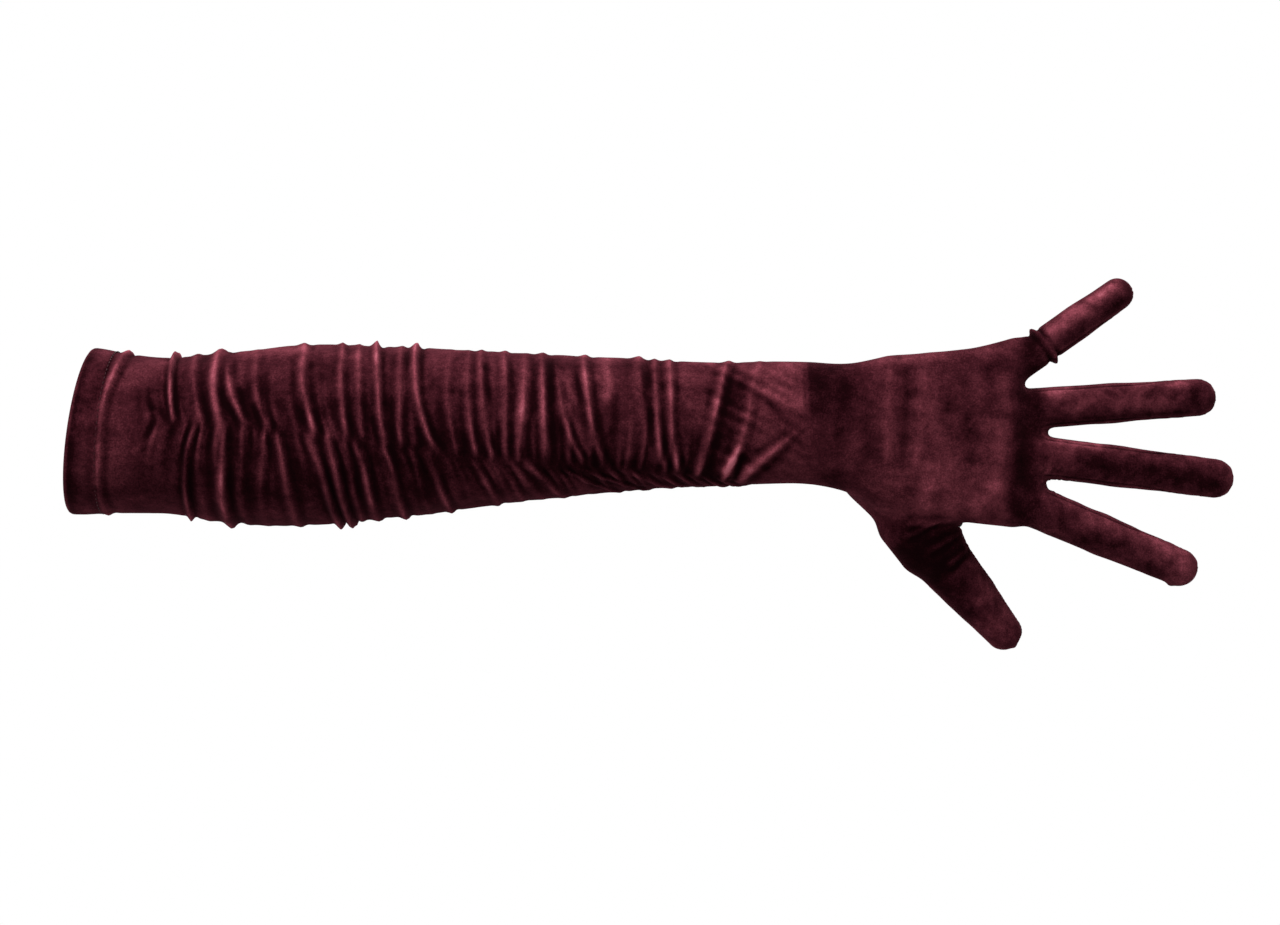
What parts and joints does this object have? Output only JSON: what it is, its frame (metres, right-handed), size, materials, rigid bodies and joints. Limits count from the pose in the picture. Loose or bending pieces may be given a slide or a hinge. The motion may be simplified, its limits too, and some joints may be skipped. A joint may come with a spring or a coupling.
{
  "type": "ruched velvet opera glove",
  "caption": "Long elbow-length glove of stretch velvet with a gathered seam winding down the sleeve, an elasticated hem, and fingers and thumb that bend.",
  "frame": {"origin": "centre of the mouth of the sleeve, where the arm goes in", "axes": "+X along the arm from the mouth to the fingertips, -Y out of the back of the hand, +Z towards the little-finger side, so the thumb hangs down"},
  "size_m": [0.4991, 0.074, 0.1613],
  "materials": {
    "velvet": "deep wine stretch velvet, sheen along folds and edges",
    "strip_velvet": "the same velvet in shade, on the strips between the fingers",
    "elastic": "matte woven elastic"
  },
  "bodies": {
    "upper_sleeve": {"cuff_hem": "velvet", "cuff_elastic": "elastic", "upper_sleeve_back": "velvet", "upper_sleeve_palm": "velvet", "elbow_sleeve_back": "velvet", "elbow_sleeve_palm": "velvet", "elbow_ruche_elastic": "elastic"},
    "forearm": {"forearm_sleeve_back": "velvet", "forearm_sleeve_palm": "velvet", "forearm_ruche_elastic": "elastic", "wrist_sleeve_back": "velvet", "wrist_sleeve_palm": "velvet"},
    "hand": {"hand_back": "velvet", "hand_palm": "velvet", "thumb_gusset": "velvet", "web_index_middle": "strip_velvet", "web_middle_ring": "strip_velvet", "web_ring_little": "strip_velvet"},
    "index_root": {"index_root_back": "velvet", "index_root_little_side_strip": "strip_velvet", "index_root_palm": "velvet"},
    "index_tip": {"index_tip_back": "velvet", "index_tip_little_side_strip": "strip_velvet", "index_tip_palm": "velvet"},
    "middle_root": {"middle_root_back": "velvet", "middle_root_little_side_strip": "strip_velvet", "middle_root_palm": "velvet", "middle_root_thumb_side_strip": "strip_velvet"},
    "middle_tip": {"middle_tip_back": "velvet", "middle_tip_little_side_strip": "strip_velvet", "middle_tip_palm": "velvet", "middle_tip_thumb_side_strip": "strip_velvet"},
    "ring_root": {"ring_root_back": "velvet", "ring_root_little_side_strip": "strip_velvet", "ring_root_palm": "velvet", "ring_root_thumb_side_strip": "strip_velvet"},
    "ring_tip": {"ring_tip_back": "velvet", "ring_tip_little_side_strip": "strip_velvet", "ring_tip_palm": "velvet", "ring_tip_thumb_side_strip": "strip_velvet"},
    "little_root": {"little_root_back": "velvet", "little_root_palm": "velvet", "little_root_thumb_side_strip": "strip_velvet"},
    "little_tip": {"little_tip_back": "velvet", "little_tip_palm": "velvet", "little_tip_thumb_side_strip": "strip_velvet"},
    "thumb_root": {"thumb_root_back": "velvet", "thumb_root_palm": "velvet"},
    "thumb_tip": {"thumb_tip_back": "velvet", "thumb_tip_palm": "velvet"}
  },
  "joints": [
    {"name": "elbow", "type": "hinge", "parent": "upper_sleeve", "child": "forearm", "pos_m": [0.062, 0, -0.003], "axis": [0, 0, -1], "range_deg": [0, 90], "deforming": ["elbow_sleeve_back", "elbow_sleeve_palm", "elbow_ruche_elastic"]},
    {"name": "wrist", "type": "hinge", "parent": "forearm", "child": "hand", "pos_m": [0.3125, 0, 0.003], "axis": [0, 0, 1], "range_deg": [-60, 70], "deforming": ["wrist_sleeve_back", "wrist_sleeve_palm"]},
    {"name": "index_knuckle", "type": "hinge", "parent": "hand", "child": "index_root", "pos_m": [0.408, 0.0083, -0.0321], "axis": [0.275, 0, 0.9615], "range_deg": [0, 85]},
    {"name": "index_bend", "type": "hinge", "parent": "index_root", "child": "index_tip", "pos_m": [0.43842, 0.0083, -0.04489], "axis": [0.3875, 0, 0.9219], "range_deg": [0, 90]},
    {"name": "middle_knuckle", "type": "hinge", "parent": "hand", "child": "middle_root", "pos_m": [0.408, 0.0085, -0.0106], "axis": [0.0866, 0, 0.9962], "range_deg": [0, 85]},
    {"name": "middle_bend", "type": "hinge", "parent": "middle_root", "child": "middle_tip", "pos_m": [0.44472, 0.0085, -0.01517], "axis": [0.1236, 0, 0.9923], "range_deg": [0, 90]},
    {"name": "ring_knuckle", "type": "hinge", "parent": "hand", "child": "ring_root", "pos_m": [0.408, 0.0082, 0.0097], "axis": [-0.0464, 0, 0.9989], "range_deg": [0, 85]},
    {"name": "ring_bend", "type": "hinge", "parent": "ring_root", "child": "ring_tip", "pos_m": [0.44193, 0.0082, 0.01195], "axis": [-0.0663, 0, 0.9978], "range_deg": [0, 90]},
    {"name": "little_knuckle", "type": "hinge", "parent": "hand", "child": "little_root", "pos_m": [0.408, 0.0073, 0.0332], "axis": [-0.4169, 0, 0.9089], "range_deg": [0, 85]},
    {"name": "little_bend", "type": "hinge", "parent": "little_root", "child": "little_tip", "pos_m": [0.42761, 0.0073, 0.04703], "axis": [-0.5764, 0, 0.8171], "range_deg": [0, 90]},
    {"name": "thumb_base", "type": "hinge", "parent": "hand", "child": "thumb_root", "pos_m": [0.36668, 0.02205, -0.0456], "axis": [0.7684, -0.3386, 0.5431], "range_deg": [0, 40]},
    {"name": "thumb_bend", "type": "hinge", "parent": "thumb_root", "child": "thumb_tip", "pos_m": [0.38507, 0.03037, -0.06643], "axis": [0.7684, -0.3386, 0.5431], "range_deg": [0, 70]}
  ]
}
